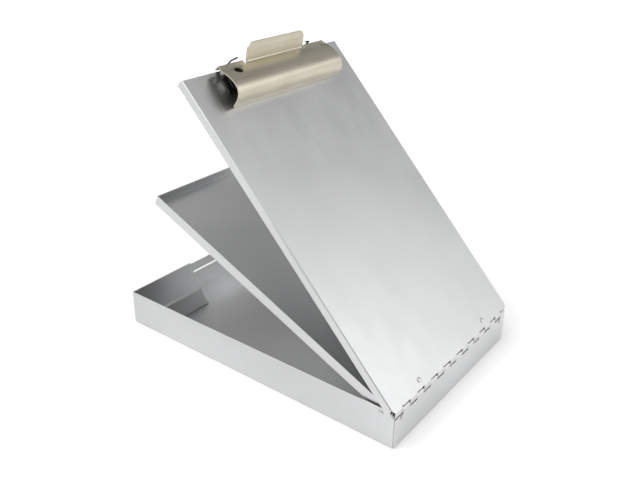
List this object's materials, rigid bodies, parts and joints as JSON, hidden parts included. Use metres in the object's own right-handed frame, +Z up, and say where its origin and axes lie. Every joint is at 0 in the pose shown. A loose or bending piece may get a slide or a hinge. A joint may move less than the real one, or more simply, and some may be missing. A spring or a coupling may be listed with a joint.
{
  "type": "storage clipboard",
  "caption": "Storage clipboard of folded aluminium sheet: base tray with pen trough, hinged middle tray and hinged lid with a sprung clip and a snap latch.",
  "frame": {"origin": "centre of the base tray's underside, on the surface it stands on", "axes": "+X along the hinge, +Y from the hinge end to the latch end, +Z up"},
  "size_m": [0.2476, 0.3631, 0.336],
  "materials": {
    "sheet_aluminium": "satin rolled sheet, fine grain along the length",
    "rivet_aluminium": "satin",
    "rod_steel": "drawn wire",
    "clip_steel": "nickel plated, warm and slightly streaked",
    "spring_steel": "dark spring steel"
  },
  "bodies": {
    "base": {"base_tray": "sheet_aluminium", "pen_divider": "sheet_aluminium", "divider_rivet_1": "rivet_aluminium", "divider_rivet_2": "rivet_aluminium", "side_rivet_1": "rivet_aluminium", "side_rivet_2": "rivet_aluminium", "end_rivet_1": "rivet_aluminium", "end_rivet_2": "rivet_aluminium", "hinge_rod": "rod_steel"},
    "tray": {"mid_tray": "sheet_aluminium"},
    "lid": {"lid": "sheet_aluminium", "lid_rivet_1": "rivet_aluminium", "lid_rivet_2": "rivet_aluminium", "clip_base": "clip_steel", "clip_rivet_1": "rivet_aluminium", "clip_rivet_2": "rivet_aluminium", "latch_rivet_1": "rivet_aluminium", "latch_rivet_2": "rivet_aluminium", "clip_pin": "rod_steel", "clip_spring_left": "spring_steel", "clip_spring_right": "spring_steel"},
    "jaw": {"clip_jaw": "clip_steel"},
    "latch": {"latch_spring": "spring_steel"}
  },
  "joints": [
    {"name": "tray_hinge", "type": "hinge", "parent": "base", "child": "tray", "pos_m": [0, -0.1782, 0.0375], "axis": [1, 0, 0], "range_deg": [-23.65, 25]},
    {"name": "lid_hinge", "type": "hinge", "parent": "tray", "child": "lid", "pos_m": [0, -0.1782, 0.0375], "axis": [1, 0, 0], "range_deg": [-22.78, 63.5]},
    {"name": "clip_hinge", "type": "hinge", "parent": "lid", "child": "jaw", "pos_m": [0, 0.06432, 0.31057], "axis": [-1, 0, 0], "range_deg": [0, 30], "stiffness_Nm_per_rad": 0.8, "springref_deg": -28.65, "deforming": ["clip_spring_left", "clip_spring_right"]},
    {"name": "latch_flex", "type": "hinge", "parent": "lid", "child": "latch", "pos_m": [0, 0.06382, 0.29655], "axis": [1, 0, 0], "range_deg": [0, 6], "stiffness_Nm_per_rad": 0.6}
  ]
}
